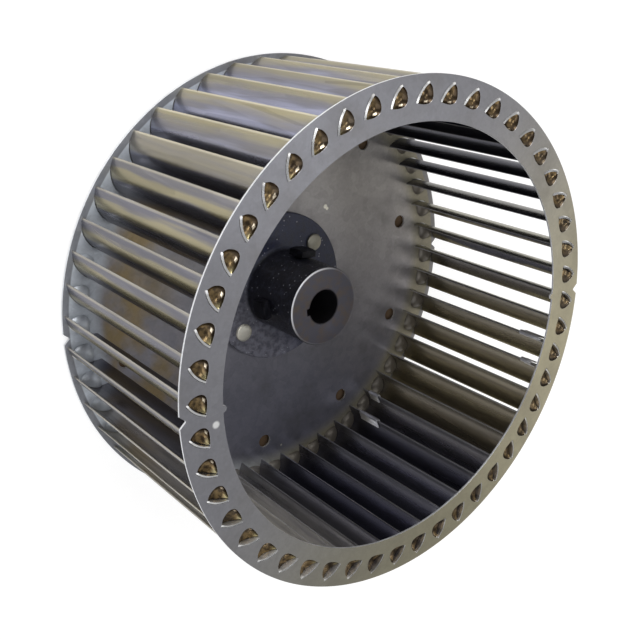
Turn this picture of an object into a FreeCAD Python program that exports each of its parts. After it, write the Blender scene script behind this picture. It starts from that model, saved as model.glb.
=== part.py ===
import FreeCAD, Part
import Sketcher
import math
import os

# Blower wheel: forward-curved blades between a back plate and an inlet ring, on a keyed hub.
# The axis is +Z with the open inlet up, and the tails of the hub rivets stand on Z = 0.
# Lengths are millimetres. Angles are degrees, counter-clockwise seen from the inlet.
SIZES = {
    # Wheel
    "wheel_radius": 152.4,
    "wheel_width": 135.4,
    "ring_band": 24.9,
    "ring_gauge": 1.2,
    "plate_gauge": 1.5,
    # Blade section: one arc, its centre set in from the rim, its angles from the outward radius
    "blade_count": 48,
    "blades_per_set": 4,
    "first_blade_angle": -0.7,
    "blade_gauge": 1.0,
    "arc_centre_inset": 19.7,
    "arc_radius": 18.5,
    "tip_angle": 16,
    "tab_tip_angle": 36.5,
    "tab_heel_angle": 77.5,
    "heel_angle": 98,
    # Slot for a tab, and the flap that is lanced and pressed inward beside it
    "slot_gap": 0.35,
    "slot_end_gap": 0.4,
    "lance_gap": 0.3,
    "pocket_depth": 3.2,
    "corner_drop": 9.4,
    "corner_lean": 4.0,
    "blind_inset": 1.6,
    # Balancing notches in both rims, and the nubs inside the ring
    "notch_count": 2,
    "notch_angle": 14.2,
    "notch_depth": 3.6,
    "notch_width": 7,
    "nub_length": 2.2,
    "nub_width": 3,
    # Round holes in the back plate
    "plate_hole_count": 10,
    "plate_hole_angle": 26,
    "plate_hole_circle": 117,
    "plate_hole_radius": 4.75,
    # Hub
    "bore_radius": 11.11,
    "barrel_radius": 26,
    "barrel_height": 49,
    "flange_radius": 51,
    "flange_thickness": 4.8,
    "shaft_hole_radius": 16,
    "key_width": 4.76,
    "key_depth": 2.4,
    "key_angle": 199,
    # Hub rivets
    "rivet_count": 4,
    "rivet_angle": 55,
    "rivet_circle": 39.5,
    "rivet_radius": 4,
    "rivet_clearance": 0.1,
    "rivet_head_radius": 6,
    "rivet_head_height": 1.8,
    "rivet_tail_height": 2.0,
    # Square-head set screws, one on the bare bore and a shorter one over the key. Both heads rise as far above
    # the barrel.
    "screw_angle": 96,
    "screw_radius": 4.76,
    "screw_clearance": 0.08,
    "screw_stand": 21.7,
    "screw_tip_gap": 0.6,
    "head_width": 12.4,
    "head_height": 5.3,
    "head_rise": 6,
    "head_turn": 8,
    # Balance clips: spring-steel channels pushed over the inner edges of blades
    "clip_gauge": 0.7,
    "clip_gap": 0.4,
    "clip_grip": 6,
    "clip_1_rise": 7,
    "clip_1_length": 10,
    "clip_2_rise": 13,
    "clip_2_length": 20,
    "clip_3_drop": 23,
    "clip_3_length": 18,
    "clip_4_drop": 16,
    "clip_4_length": 9,
}


# Radii and levels, worked out from the sheet
INLET_RADIUS = "(sizes.wheel_radius - sizes.ring_band)"
ARC_CENTRE = "(sizes.wheel_radius - sizes.arc_centre_inset)"
PLATE_OUTER = "sizes.rivet_tail_height"
PLATE_INNER = "sizes.rivet_tail_height + sizes.plate_gauge"
RING_OUTER = "sizes.rivet_tail_height + sizes.wheel_width"
RING_INNER = "sizes.rivet_tail_height + sizes.wheel_width - sizes.ring_gauge"
FLANGE_TOP = f"{PLATE_INNER} + sizes.flange_thickness"
HUB_FACE = f"{FLANGE_TOP} + sizes.barrel_height"

# Faces of a blade, and the ends of the slot that its tab goes through
CONCAVE = "sizes.arc_radius - sizes.blade_gauge / 2"
CONVEX = "sizes.arc_radius + sizes.blade_gauge / 2"
LANCED_EDGE = f"{CONCAVE} - sizes.lance_gap"
END_GAP_ANGLE = "sizes.slot_end_gap / sizes.arc_radius * 180 / pi"
SLOT_START = f"sizes.tab_tip_angle - {END_GAP_ANGLE}"
SLOT_END = f"sizes.tab_heel_angle + {END_GAP_ANGLE}"
SLOT_MIDDLE = "(sizes.tab_tip_angle + sizes.tab_heel_angle) / 2"
SLOT_EDGE = f"({CONVEX} + sizes.slot_gap) / cos(({SLOT_END} - ({SLOT_START})) / 4)"

# Each clip: its blade, counted from the first, its lower end, and its length. The rises are from the back
# plate and the drops from under the ring.
CLIPS = [
    ("balance_clip_1", -6, f"{PLATE_INNER} + sizes.clip_1_rise", "sizes.clip_1_length"),
    ("balance_clip_2", -7, f"{PLATE_INNER} + sizes.clip_2_rise", "sizes.clip_2_length"),
    ("balance_clip_3", -1, f"{RING_INNER} - sizes.clip_3_drop", "sizes.clip_3_length"),
    ("balance_clip_4", -2, f"{RING_INNER} - sizes.clip_4_drop", "sizes.clip_4_length"),
]

Z_AXIS = FreeCAD.Vector(0, 0, 1)
THROUGH_ALL = 1

doc = FreeCAD.newDocument("blower_wheel")


def fill_sheet():
    sheet = doc.addObject("Spreadsheet::Sheet", "sizes")
    for row, (name, value) in enumerate(SIZES.items(), start=1):
        sheet.set(f"A{row}", name)
        sheet.set(f"B{row}", str(value))
        sheet.setAlias(f"B{row}", name)
    doc.recompute()
    return sheet


sheet = fill_sheet()


def value(expression):
    result = sheet.evalExpression(expression)
    return getattr(result, "Value", result)


def turned(angle):
    return FreeCAD.Rotation(Z_AXIS, angle)


def new_body(label):
    body = doc.addObject("PartDesign::Body", label)
    body.Label = label
    return body


def origin_part(body, role):
    return next(part for part in body.Origin.OriginFeatures if part.Role == role)


def new_sketch(body, name, level, turn="0", plane="XY_Plane"):
    # A sketch on one of the body's own planes, raised to its level and turned about the plane's normal
    sketch = body.newObject("Sketcher::SketchObject", name)
    sketch.AttachmentSupport = [(origin_part(body, plane), "")]
    sketch.MapMode = "FlatFace"
    base = FreeCAD.Vector(0, 0, value(level))
    sketch.AttachmentOffset = FreeCAD.Placement(base, turned(value(turn)))
    sketch.setExpression("AttachmentOffset.Base.z", level)
    return sketch


def bind(sketch, constraint, expression):
    index = sketch.addConstraint(constraint)
    sketch.setExpression(f"Constraints[{index}]", expression)


def bind_point(sketch, element, end, x, y):
    # Holds one end of a sketch element at a place given by two expressions, each of either sign
    for kind, expression in (("DistanceX", x), ("DistanceY", y)):
        bind(sketch, Sketcher.Constraint(kind, -1, 1, element, end, value(expression)), expression)


def add_circle(sketch, radius, x="0"):
    centre = FreeCAD.Vector(value(x), 0, 0)
    circle = sketch.addGeometry(Part.Circle(centre, Z_AXIS, value(radius)), False)
    bind(sketch, Sketcher.Constraint("Radius", circle, value(radius)), radius)
    if x == "0":
        sketch.addConstraint(Sketcher.Constraint("Coincident", circle, 3, -1, 1))
    else:
        sketch.addConstraint(Sketcher.Constraint("PointOnObject", circle, 3, -1))
        bind(sketch, Sketcher.Constraint("DistanceX", -1, 1, circle, 3, value(x)), x)


def at(point):
    x, y = point
    return FreeCAD.Vector(value(x), value(y), 0)


def add_lines(sketch, points):
    # A closed outline through points that are pairs of expressions
    lines = []
    for point, following in zip(points, points[1:] + points[:1]):
        line = sketch.addGeometry(Part.LineSegment(at(point), at(following)), False)
        bind_point(sketch, line, 1, *point)
        lines.append(line)
    for line, following in zip(lines, lines[1:] + lines[:1]):
        sketch.addConstraint(Sketcher.Constraint("Coincident", line, 2, following, 1))


def on_arc(radius, angle):
    # A point about the centre of the first blade's arc, in the blade's own frame
    return (f"{ARC_CENTRE} + ({radius}) * cos({angle})", f"({radius}) * sin({angle})")


def shifted(point, right, up):
    x, y = point
    return (f"{x} + {right}", f"{y} + {up}")


def add_arc(sketch, radius, start, end):
    centre = FreeCAD.Vector(value(ARC_CENTRE), 0, 0)
    circle = Part.Circle(centre, Z_AXIS, value(radius))
    angles = [math.radians(value(angle)) for angle in (start, end)]
    arc = sketch.addGeometry(Part.ArcOfCircle(circle, *angles), False)
    bind(sketch, Sketcher.Constraint("Radius", arc, value(radius)), radius)
    return arc


def add_band(sketch, inner, outer, start, end):
    # A strip of even width along the blade's arc, closed by a square end at each angle
    near = add_arc(sketch, inner, start, end)
    far = add_arc(sketch, outer, start, end)
    sketch.addConstraint(Sketcher.Constraint("PointOnObject", near, 3, -1))
    bind(sketch, Sketcher.Constraint("DistanceX", -1, 1, near, 3, value(ARC_CENTRE)), ARC_CENTRE)
    sketch.addConstraint(Sketcher.Constraint("Coincident", near, 3, far, 3))
    for arc_end, angle in ((1, start), (2, end)):
        square_end = Part.LineSegment(at(on_arc(inner, angle)), at(on_arc(outer, angle)))
        line = sketch.addGeometry(square_end, False)
        sketch.addConstraint(Sketcher.Constraint("Coincident", line, 1, near, arc_end))
        sketch.addConstraint(Sketcher.Constraint("Coincident", line, 2, far, arc_end))
        sketch.addConstraint(Sketcher.Constraint("PointOnObject", near, 3, line))
        turn = Sketcher.Constraint("Angle", line, math.radians(value(angle)))
        bind(sketch, turn, angle)


def pad(body, name, sketch, length):
    feature = body.newObject("PartDesign::Pad", name)
    feature.Profile = sketch
    feature.setExpression("Length", length)
    sketch.Visibility = False
    return feature


def pocket(body, name, sketch, upward=False):
    feature = body.newObject("PartDesign::Pocket", name)
    feature.Profile = sketch
    feature.Type = THROUGH_ALL
    feature.Reversed = upward
    return feature


def repeat(body, name, features, count):
    # The features again at even turns about the axis
    doc.recompute()
    pattern = body.newObject("PartDesign::PolarPattern", name)
    pattern.Originals = features
    pattern.Axis = (origin_part(body, "Z_Axis"), [""])
    pattern.Angle = 360
    pattern.setExpression("Occurrences", count)
    body.Tip = pattern
    doc.recompute()
    return pattern


def around(body, name, level, angle, circle, radius, count, upward=False):
    # Evenly spaced round cuts through a plate
    sketch = new_sketch(body, f"{name}_sketch", level, angle)
    add_circle(sketch, radius, circle)
    repeat(body, name, [pocket(body, f"{name}_cut", sketch, upward)], count)


def blade_set():
    # Blades at even turns, so that each set balances itself. The tab at the ring end is narrower than the
    # blade, and the shoulders beside it seat under the ring.
    body = new_body("blades_01")
    body.AllowCompound = True
    span = new_sketch(body, "span_section", PLATE_INNER, "sizes.first_blade_angle")
    add_band(span, CONCAVE, CONVEX, "sizes.tip_angle", "sizes.heel_angle")
    tabs = new_sketch(body, "tab_section", PLATE_INNER, "sizes.first_blade_angle")
    add_band(tabs, CONCAVE, CONVEX, "sizes.tab_tip_angle", "sizes.tab_heel_angle")
    features = [
        pad(body, "span", span, f"({RING_INNER}) - ({PLATE_INNER})"),
        pad(body, "tabs", tabs, f"({RING_OUTER}) - ({PLATE_INNER})"),
    ]
    repeat(body, "blades", features, "sizes.blades_per_set")
    return body


def blade_pitch():
    return 360 / value("sizes.blade_count")


def further_blade_sets(first):
    copies = []
    for i in range(1, round(value("sizes.blade_count / sizes.blades_per_set"))):
        placement = FreeCAD.Placement(FreeCAD.Vector(), turned(i * blade_pitch()))
        copies.append(copy_of(first, f"blades_{i + 1:02d}", placement))
    return copies


def copy_of(body, label, placement):
    copy = doc.addObject("App::Link", label)
    copy.Label = label
    copy.LinkedObject = body
    copy.Placement = placement
    return copy


def pressed_hollow(body, outline, bottom, outer, inner, inward):
    # A pointed hollow pressed inward from the outer face: the same form is added behind the sheet and then
    # cut from its face, one gauge apart, which leaves a wall of even gauge
    features = []
    turn = "sizes.first_blade_angle"
    for name, kind, level in (("back", "Additive", inner), ("hollow", "Subtractive", outer)):
        rim = new_sketch(body, f"{name}_rim", level, turn)
        add_lines(rim, outline)
        tip = new_sketch(body, f"{name}_tip", f"{level} {inward} sizes.pocket_depth", turn)
        point = tip.addGeometry(Part.Point(at(bottom)), False)
        bind_point(tip, point, 1, *bottom)
        press = body.newObject(f"PartDesign::{kind}Loft", name)
        press.Profile = rim
        press.Sections = [tip]
        press.Ruled = True
        features.append(press)
    return features


def lanced_pockets(body):
    # Beside each tab the ring is sheared along the tab's concave side and pressed in to a flap. The slot
    # between the sheared edge and the tab's convex side lets the tab through.
    angles = (SLOT_START, SLOT_MIDDLE, SLOT_END)
    near_tip, near_middle, near_heel = [on_arc(LANCED_EDGE, angle) for angle in angles]
    far_tip, far_middle, far_heel = [on_arc(SLOT_EDGE, angle) for angle in angles]
    corner = shifted(near_tip, "-sizes.corner_drop", "-sizes.corner_lean")
    outline = [near_tip, corner, near_heel, near_middle]
    features = pressed_hollow(body, outline, near_middle, RING_OUTER, RING_INNER, "-")
    slot = new_sketch(body, "slot_outline", RING_OUTER, "sizes.first_blade_angle")
    add_lines(slot, [far_tip, near_tip, near_middle, near_heel, far_heel, far_middle])
    features.append(pocket(body, "slot", slot))
    repeat(body, "pockets", features, "sizes.blade_count")


def blind_pockets(body):
    # The same hollows beside the rear ends of the blades, closed all round
    near_tip = on_arc(LANCED_EDGE, SLOT_START)
    near_heel = on_arc(LANCED_EDGE, SLOT_END)
    corner = shifted(near_tip, "-sizes.corner_drop", "-sizes.corner_lean")
    outline = [near_tip, corner, near_heel]
    bottom = on_arc(f"{LANCED_EDGE} - sizes.blind_inset", SLOT_MIDDLE)
    features = pressed_hollow(body, outline, bottom, PLATE_OUTER, PLATE_INNER, "+")
    repeat(body, "pockets", features, "sizes.blade_count")


def notch(body, name, level):
    # A V cut into the rim, again half a turn on
    sketch = new_sketch(body, f"{name}_sketch", level, "sizes.notch_angle")
    bottom = "sizes.wheel_radius - sizes.notch_depth"
    mouth = "sizes.wheel_radius + sizes.notch_depth"
    add_lines(sketch, [(bottom, "0"), (mouth, "-sizes.notch_width"), (mouth, "sizes.notch_width")])
    repeat(body, name, [pocket(body, f"{name}_cut", sketch)], "sizes.notch_count")


def inlet_ring():
    body = new_body("inlet_ring")
    outline = new_sketch(body, "ring_outline", RING_INNER)
    add_circle(outline, "sizes.wheel_radius")
    add_circle(outline, INLET_RADIUS)
    pad(body, "ring_sheet", outline, "sizes.ring_gauge")
    nub = new_sketch(body, "nub_outline", RING_INNER, "sizes.notch_angle")
    root = f"{INLET_RADIUS} + sizes.nub_length"
    end = f"{INLET_RADIUS} - sizes.nub_length"
    half = "sizes.nub_width / 2"
    add_lines(nub, [(end, f"-{half}"), (root, f"-{half}"), (root, half), (end, half)])
    repeat(body, "nubs", [pad(body, "nub", nub, "sizes.ring_gauge")], "sizes.notch_count")
    notch(body, "notches", RING_OUTER)
    lanced_pockets(body)
    return body


def back_plate():
    body = new_body("back_plate")
    outline = new_sketch(body, "plate_outline", PLATE_OUTER)
    add_circle(outline, "sizes.wheel_radius")
    add_circle(outline, "sizes.shaft_hole_radius")
    pad(body, "plate_sheet", outline, "sizes.plate_gauge")
    notch(body, "notches", PLATE_INNER)
    around(body, "plate_holes", PLATE_INNER, "sizes.plate_hole_angle", "sizes.plate_hole_circle",
           "sizes.plate_hole_radius", "sizes.plate_hole_count")
    around(body, "rivet_holes", PLATE_INNER, "sizes.rivet_angle", "sizes.rivet_circle",
           "sizes.rivet_radius + sizes.rivet_clearance", "sizes.rivet_count")
    blind_pockets(body)
    return body


def hub():
    body = new_body("hub")
    profile = new_sketch(body, "hub_profile", "0", plane="XZ_Plane")
    add_lines(profile, [
        ("sizes.bore_radius", PLATE_INNER),
        ("sizes.flange_radius", PLATE_INNER),
        ("sizes.flange_radius", FLANGE_TOP),
        ("sizes.barrel_radius", FLANGE_TOP),
        ("sizes.barrel_radius", HUB_FACE),
        ("sizes.bore_radius", HUB_FACE),
    ])
    turning = body.newObject("PartDesign::Revolution", "turning")
    turning.Profile = profile
    turning.ReferenceAxis = (profile, ["V_Axis"])
    turning.Angle = 360
    around(body, "rivet_holes", FLANGE_TOP, "sizes.rivet_angle", "sizes.rivet_circle",
           "sizes.rivet_radius + sizes.rivet_clearance", "sizes.rivet_count")
    keyway = new_sketch(body, "keyway_outline", HUB_FACE, "sizes.key_angle")
    reach = "sizes.bore_radius + sizes.key_depth"
    add_lines(keyway, [
        ("0", "-sizes.key_width / 2"),
        (reach, "-sizes.key_width / 2"),
        (reach, "sizes.key_width / 2"),
        ("0", "sizes.key_width / 2"),
    ])
    pocket(body, "keyway", keyway)
    for name, angle in (("screw_hole_1", "sizes.screw_angle"), ("screw_hole_2", "sizes.key_angle")):
        hole = body.newObject("PartDesign::SubtractiveCylinder", name)
        hole.AttachmentSupport = [(origin_part(body, "XY_Plane"), "")]
        hole.MapMode = "FlatFace"
        hole.AttachmentOffset = screw_placement(value(angle), 0)
        hole.setExpression("Radius", "sizes.screw_radius + sizes.screw_clearance")
        hole.setExpression("Height", "sizes.barrel_radius + sizes.key_depth")
    return body


def screw_placement(angle, distance):
    # Turns +Z to point out along a radius of the hub, and starts at a distance from the axis
    outward = turned(angle).multVec(FreeCAD.Vector(distance, 0, 0))
    level = FreeCAD.Vector(0, 0, value(f"{FLANGE_TOP} + sizes.screw_stand"))
    return FreeCAD.Placement(outward + level, turned(angle) * FreeCAD.Rotation(FreeCAD.Vector(0, 1, 0), 90))


def set_screw(label, angle, seat):
    # Stands with its tip a gap short of its seat: the shaft, or the top of the key
    body = new_body(label)
    tip = f"{seat} + sizes.screw_tip_gap"
    length = f"sizes.barrel_radius + sizes.head_rise - sizes.head_height - ({tip})"
    shank = new_sketch(body, f"{label}_shank_outline", "0")
    add_circle(shank, "sizes.screw_radius")
    pad(body, f"{label}_shank", shank, length)
    head = new_sketch(body, f"{label}_head_outline", length, "sizes.head_turn")
    half = "sizes.head_width / 2"
    add_lines(head, [(half, half), (f"-{half}", half), (f"-{half}", f"-{half}"), (half, f"-{half}")])
    pad(body, f"{label}_head", head, "sizes.head_height")
    body.Placement = screw_placement(value(angle), value(tip))
    return body


def hub_rivets():
    body = new_body("hub_rivets")
    body.AllowCompound = True
    spans = [
        ("shank", "0", "sizes.rivet_radius", FLANGE_TOP),
        ("head", FLANGE_TOP, "sizes.rivet_head_radius", "sizes.rivet_head_height"),
    ]
    features = []
    for name, level, radius, length in spans:
        sketch = new_sketch(body, f"rivet_{name}_outline", level, "sizes.rivet_angle")
        add_circle(sketch, radius, "sizes.rivet_circle")
        features.append(pad(body, f"rivet_{name}", sketch, length))
    repeat(body, "rivets", features, "sizes.rivet_count")
    return body


def balance_clip(label, blade, lower_end, length):
    # A channel over the inner edge of a blade, with a leg along each of its faces. It is straight, so it lies
    # along the tangent halfway down its grip.
    body = new_body(label)
    block = new_sketch(body, f"{label}_outline", lower_end)
    half_grip = "sizes.clip_grip / 2"
    inside = "sizes.blade_gauge / 2 + sizes.clip_gap"
    near, far = f"sizes.arc_radius - ({inside})", f"sizes.arc_radius + {inside}"
    near_outside, far_outside = f"{near} - sizes.clip_gauge", f"{far} + sizes.clip_gauge"
    bend = f"{half_grip} + sizes.clip_gap"
    back = f"{bend} + sizes.clip_gauge"
    add_lines(block, [
        (near_outside, f"-{half_grip}"),
        (near, f"-{half_grip}"),
        (near, bend),
        (far, bend),
        (far, f"-{half_grip}"),
        (far_outside, f"-{half_grip}"),
        (far_outside, back),
        (near_outside, back),
    ])
    pad(body, f"{label}_channel", block, length)
    blade_turn = turned(value("sizes.first_blade_angle") + blade * blade_pitch())
    arc_centre = blade_turn.multVec(FreeCAD.Vector(value(ARC_CENTRE), 0, 0))
    grip_turn = turned(value(f"sizes.heel_angle - {half_grip} / sizes.arc_radius * 180 / pi"))
    body.Placement = FreeCAD.Placement(arc_centre, blade_turn * grip_turn)
    return body


def build():
    first_set = blade_set()
    pieces = [first_set, *further_blade_sets(first_set)]
    pieces += [inlet_ring(), back_plate(), hub(), hub_rivets()]
    pieces.append(set_screw("set_screw_1", "sizes.screw_angle", "sizes.bore_radius"))
    pieces.append(set_screw("set_screw_2", "sizes.key_angle", "sizes.bore_radius + sizes.key_depth"))
    pieces += [balance_clip(*clip) for clip in CLIPS]
    return pieces


def check(pieces):
    doc.recompute()
    for item in doc.Objects:
        if {"Invalid", "Error"} & set(item.State):
            raise RuntimeError(f"{item.Name} did not compute: {item.State}")
    for piece in pieces:
        shape = Part.getShape(piece)
        if shape.isNull() or not shape.isValid() or not shape.Solids:
            raise RuntimeError(f"{piece.Label} has no valid solid")


def write(pieces):
    os.makedirs("parts", exist_ok=True)
    for piece in pieces:
        Part.getShape(piece).exportStep(f"parts/{piece.Label}.step")


parts = build()
check(parts)
write(parts)
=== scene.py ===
import math
from contextlib import contextmanager

import bmesh
import bpy
from mathutils import Matrix, Vector
from mathutils.geometry import delaunay_2d_cdt


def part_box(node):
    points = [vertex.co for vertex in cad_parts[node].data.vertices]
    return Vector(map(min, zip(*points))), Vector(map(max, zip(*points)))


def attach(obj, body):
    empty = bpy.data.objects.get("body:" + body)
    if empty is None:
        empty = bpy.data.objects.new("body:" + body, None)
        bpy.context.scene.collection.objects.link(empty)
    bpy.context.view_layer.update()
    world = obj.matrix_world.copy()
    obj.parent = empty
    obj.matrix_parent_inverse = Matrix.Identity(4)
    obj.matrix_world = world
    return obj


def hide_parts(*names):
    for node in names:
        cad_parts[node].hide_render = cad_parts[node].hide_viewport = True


bl_info = {
    "name": "Blower wheel",
    "version": (1, 0, 0),
    "blender": (4, 5, 0),
    "location": "View3D > Sidebar > Blower wheel",
    "description": "Dresses a blower wheel: lanced ring and back plate, blades, hub and set screws",
    "category": "Add Mesh",
}

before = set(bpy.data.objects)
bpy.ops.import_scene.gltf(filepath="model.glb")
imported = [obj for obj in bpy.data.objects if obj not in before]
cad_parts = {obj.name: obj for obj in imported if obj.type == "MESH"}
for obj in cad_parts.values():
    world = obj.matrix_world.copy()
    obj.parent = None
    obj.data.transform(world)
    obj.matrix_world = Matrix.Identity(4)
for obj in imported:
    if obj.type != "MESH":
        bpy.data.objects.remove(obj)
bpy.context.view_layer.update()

MM = 0.001
TURN = 2 * math.pi
WHEEL = "wheel"
BLADE_NODES = sorted(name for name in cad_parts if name.startswith("blades_"))
CLIP_NODES = sorted(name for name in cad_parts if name.startswith("balance_clip_"))
REAR_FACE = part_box("back_plate")[0].z
RING_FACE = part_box("inlet_ring")[1].z
WHEEL_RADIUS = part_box("inlet_ring")[1].x
HUB_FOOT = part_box("hub")[0].z
HUB_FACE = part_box("hub")[1].z


# Sizes and colours ------------------------------------------------------------------------------------------

def length(mm, description):
    return bpy.props.FloatProperty(default=mm * MM, unit="LENGTH", description=description)


def angle(degrees, description):
    return bpy.props.FloatProperty(default=math.radians(degrees), subtype="ANGLE", description=description)


def count(number, description):
    return bpy.props.IntProperty(default=number, min=1, description=description)


def colour(red, green, blue, description):
    return bpy.props.FloatVectorProperty(
        default=(red, green, blue, 1), size=4, subtype="COLOR", min=0, max=1, description=description)


class SheetSizes(bpy.types.PropertyGroup):
    ring_band: length(24.9, "Width of the inlet ring's flat band")
    ring_gauge: length(1.2, "Thickness of the inlet ring")
    plate_gauge: length(1.5, "Thickness of the back plate")
    rim_zone: length(27.4, "Width of the plate's outer band that carries the pockets")
    pocket_depth: length(3.4, "How far each pocket is pressed inward")
    slot_gap: length(0.35, "Clearance behind a blade's tab")
    lance_gap: length(0.3, "Clearance between a tab and the sheared edge")
    notch_angle: angle(14.2, "Place of the first balancing notch")
    notch_depth: length(3.4, "Depth of the notches in both rims")
    notch_half_angle: angle(1.25, "Half the opening of a notch")
    nub_length: length(2.2, "How far the nubs stand into the inlet")
    nub_half_width: length(2, "Half the width of a nub at its foot")
    hole_count: count(10, "Round holes in the back plate")
    hole_angle: angle(26, "Place of the first round hole")
    hole_circle: length(117, "Radius of the circle of round holes")
    hole_radius: length(4.75, "Radius of the round holes")
    shaft_hole: length(16, "Radius of the opening behind the hub")
    edge: length(0.12, "Rounding of the sheared edges")


class BladeSizes(bpy.types.PropertyGroup):
    blades: count(48, "Blades round the wheel")
    first: angle(-0.7, "Turn of the first blade's own frame")
    gauge: length(1.0, "Thickness of a blade")
    centre_inset: length(19.7, "The arc's centre, inward from the rim")
    arc_radius: length(18.5, "Radius of a blade's curve")
    tip: angle(16, "Where the curve starts, near the rim")
    heel: angle(98, "Where the curve ends, near the inlet")
    tab_tip: angle(36.5, "Where a tab starts")
    tab_heel: angle(77.5, "Where a tab ends")
    tab_root: length(0.5, "How far a tab reaches into the blade")
    tab_stand: length(0.45, "How far a tab's sheared end stands out of its slot")


class HubSizes(bpy.types.PropertyGroup):
    bore: length(11.11, "Radius of the bore")
    barrel: length(26, "Radius of the barrel")
    flange: length(51, "Radius of the flange")
    flange_thickness: length(4.8, "Thickness of the flange")
    fillet: length(3, "Radius where the barrel meets the flange")
    edge: length(0.9, "Rounding of the outer edges")
    screw_clearance: length(0.12, "Clearance round the set screws")
    key_width: length(4.76, "Width of the keyway")
    key_depth: length(2.4, "Depth of the keyway")
    key_angle: angle(199, "Place of the keyway and the screw over it")
    rivets: count(4, "Rivets through the flange")
    rivet_angle: angle(55, "Place of the first rivet")
    rivet_circle: length(39.5, "Radius of the circle of rivets")
    rivet_head: length(6, "Radius of a rivet's head")
    rivet_rise: length(1.8, "Height of a rivet's head")
    rivet_shank: length(4, "Radius of a rivet's shank")


class ScrewSizes(bpy.types.PropertyGroup):
    radius: length(4.76, "Outer radius of the thread")
    pitch: length(1.59, "Rise of one turn of the thread")
    thread_depth: length(0.75, "Depth of the thread")
    head: length(12.4, "Width across the flats of the square head")
    head_height: length(5.3, "Height of the head")
    head_edge: length(0.45, "Rounding of the head's edges")
    head_rise: length(6, "How far a head stands up from the barrel")
    head_turn: angle(8, "Turn of the head about the screw")
    tip_gap: length(0.6, "Gap between a tip and the shaft or key")
    stand: length(21.7, "Height of the screws above the flange")
    angle: angle(96, "Place of the screw that bears on the bare shaft")


class ClipSizes(bpy.types.PropertyGroup):
    gauge: length(0.7, "Thickness of the spring steel")
    gap: length(0.4, "Clearance from the blade's faces")
    grip: length(6, "How far a clip reaches over a blade")
    flare: length(0.5, "How far a clip's feet are bent outward")
    foot: length(1.2, "Length of a clip's feet")
    edge: length(0.15, "Rounding of the edges")


class BladeTones(bpy.types.PropertyGroup):
    # Painted light: the straw band, cool sheen, grey on the left, tip line, cream heels and sheared corner
    # are painted highlights and reflections, the shaded heels and the dark inside are painted shade, and the
    # warm and pale insides are painted reflections
    straw: colour(0.47, 0.42, 0.27, "Straw")
    lavender: colour(0.32, 0.315, 0.37, "Lavender")
    sheen: colour(0.45, 0.46, 0.60, "Cool sheen")
    grey: colour(0.235, 0.23, 0.265, "Grey on the left")
    shaded: colour(0.05, 0.05, 0.075, "Heels at the far top")
    cream: colour(0.62, 0.60, 0.50, "Heels at the far right")
    tip_highlight: colour(0.88, 0.81, 0.62, "Line at the tip")
    navy: colour(0.045, 0.045, 0.066, "Dark inside")
    lighter_inner_shade: colour(0.085, 0.085, 0.11, "Less dark inside")
    warm: colour(0.22, 0.19, 0.135, "Warm inside")
    pale: colour(0.72, 0.685, 0.61, "Pale inside")
    cut: colour(0.50, 0.50, 0.50, "Sheared edge")
    corner_glint: colour(0.97, 0.97, 0.97, "Sheared corner")
    grime: colour(0.12, 0.11, 0.10, "Grime")


class RingTones(bpy.types.PropertyGroup):
    # Painted light: the left and right sides are painted cool and warm reflections; in the pockets the gold
    # tone is a painted reflection, the dark in the corners is partly painted shade, the shallow end is a
    # painted reflection and the bright spot is a painted glint
    cool: colour(0.28, 0.28, 0.305, "Left side")
    warm: colour(0.30, 0.28, 0.20, "Right side")
    pocket: colour(0.26, 0.18, 0.085, "Oil stain in the pockets")
    soot: colour(0.055, 0.038, 0.022, "Dirt in the corners")
    shallow: colour(0.34, 0.30, 0.16, "Shallow end of a pocket")
    glint: colour(1.0, 0.86, 0.66, "Rubbed spot in a pocket")
    wall: colour(0.93, 0.94, 0.96, "Sheared edge")
    mark: colour(0.95, 0.95, 0.95, "Small mark")
    grime: colour(0.15, 0.135, 0.11, "Grime")


class PlateTones(bpy.types.PropertyGroup):
    # Painted light: the lower side is painted shade and the upper side painted light, the two rim tones are
    # painted light at the rim, and the pocket tone is painted shade
    cool: colour(0.25, 0.25, 0.30, "Lower side")
    warm: colour(0.33, 0.315, 0.305, "Upper side")
    rim_light_left: colour(0.66, 0.71, 0.78, "Clean zinc at the rim")
    rim_light_right: colour(0.23, 0.21, 0.15, "Dull zinc at the rim")
    rim_line: colour(0.17, 0.17, 0.19, "Outermost line")
    brown: colour(0.28, 0.215, 0.12, "Brown stain")
    dust: colour(0.11, 0.095, 0.08, "Dirt in the pockets")
    wall: colour(0.85, 0.87, 0.9, "Sheared edge")
    mark: colour(0.85, 0.82, 0.72, "Small marks")
    grime: colour(0.10, 0.095, 0.095, "Grime")


class HubTones(bpy.types.PropertyGroup):
    black: colour(0.010, 0.010, 0.016, "Barrel")
    worn_black: colour(0.03, 0.032, 0.05, "Worn barrel")
    blue_black: colour(0.02, 0.024, 0.055, "Flange")
    # Painted sheen: the worn flange tone lights the flange's lower left
    slate: colour(0.18, 0.18, 0.22, "Worn flange")
    soot: colour(0.02, 0.021, 0.032, "Dirt on the flange")
    # Painted highlights: the specks
    speck: colour(0.4, 0.4, 0.45, "Specks")
    machined: colour(0.088, 0.086, 0.105, "Turned face")
    blotch: colour(0.115, 0.095, 0.085, "Blotches")
    # Painted highlight on the turned edge
    edge_highlight: colour(0.75, 0.75, 0.78, "Turned edge")
    bore: colour(0.03, 0.028, 0.032, "Bore")
    # Painted light and shade: lower rivets lighter, upper rivets darker
    low_rivet_painted_light: colour(0.85, 0.82, 0.72, "Lower rivets")
    high_rivet_painted_shade: colour(0.30, 0.29, 0.25, "Upper rivets")
    rivet_grime: colour(0.2, 0.18, 0.12, "Grime on the rivets")
    screw: colour(0.004, 0.004, 0.006, "Screws")
    worn_screw: colour(0.014, 0.014, 0.02, "Worn screws")
    clip: colour(0.8, 0.8, 0.82, "Clips")
    clip_grime: colour(0.3, 0.28, 0.25, "Grime on the clips")


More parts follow.
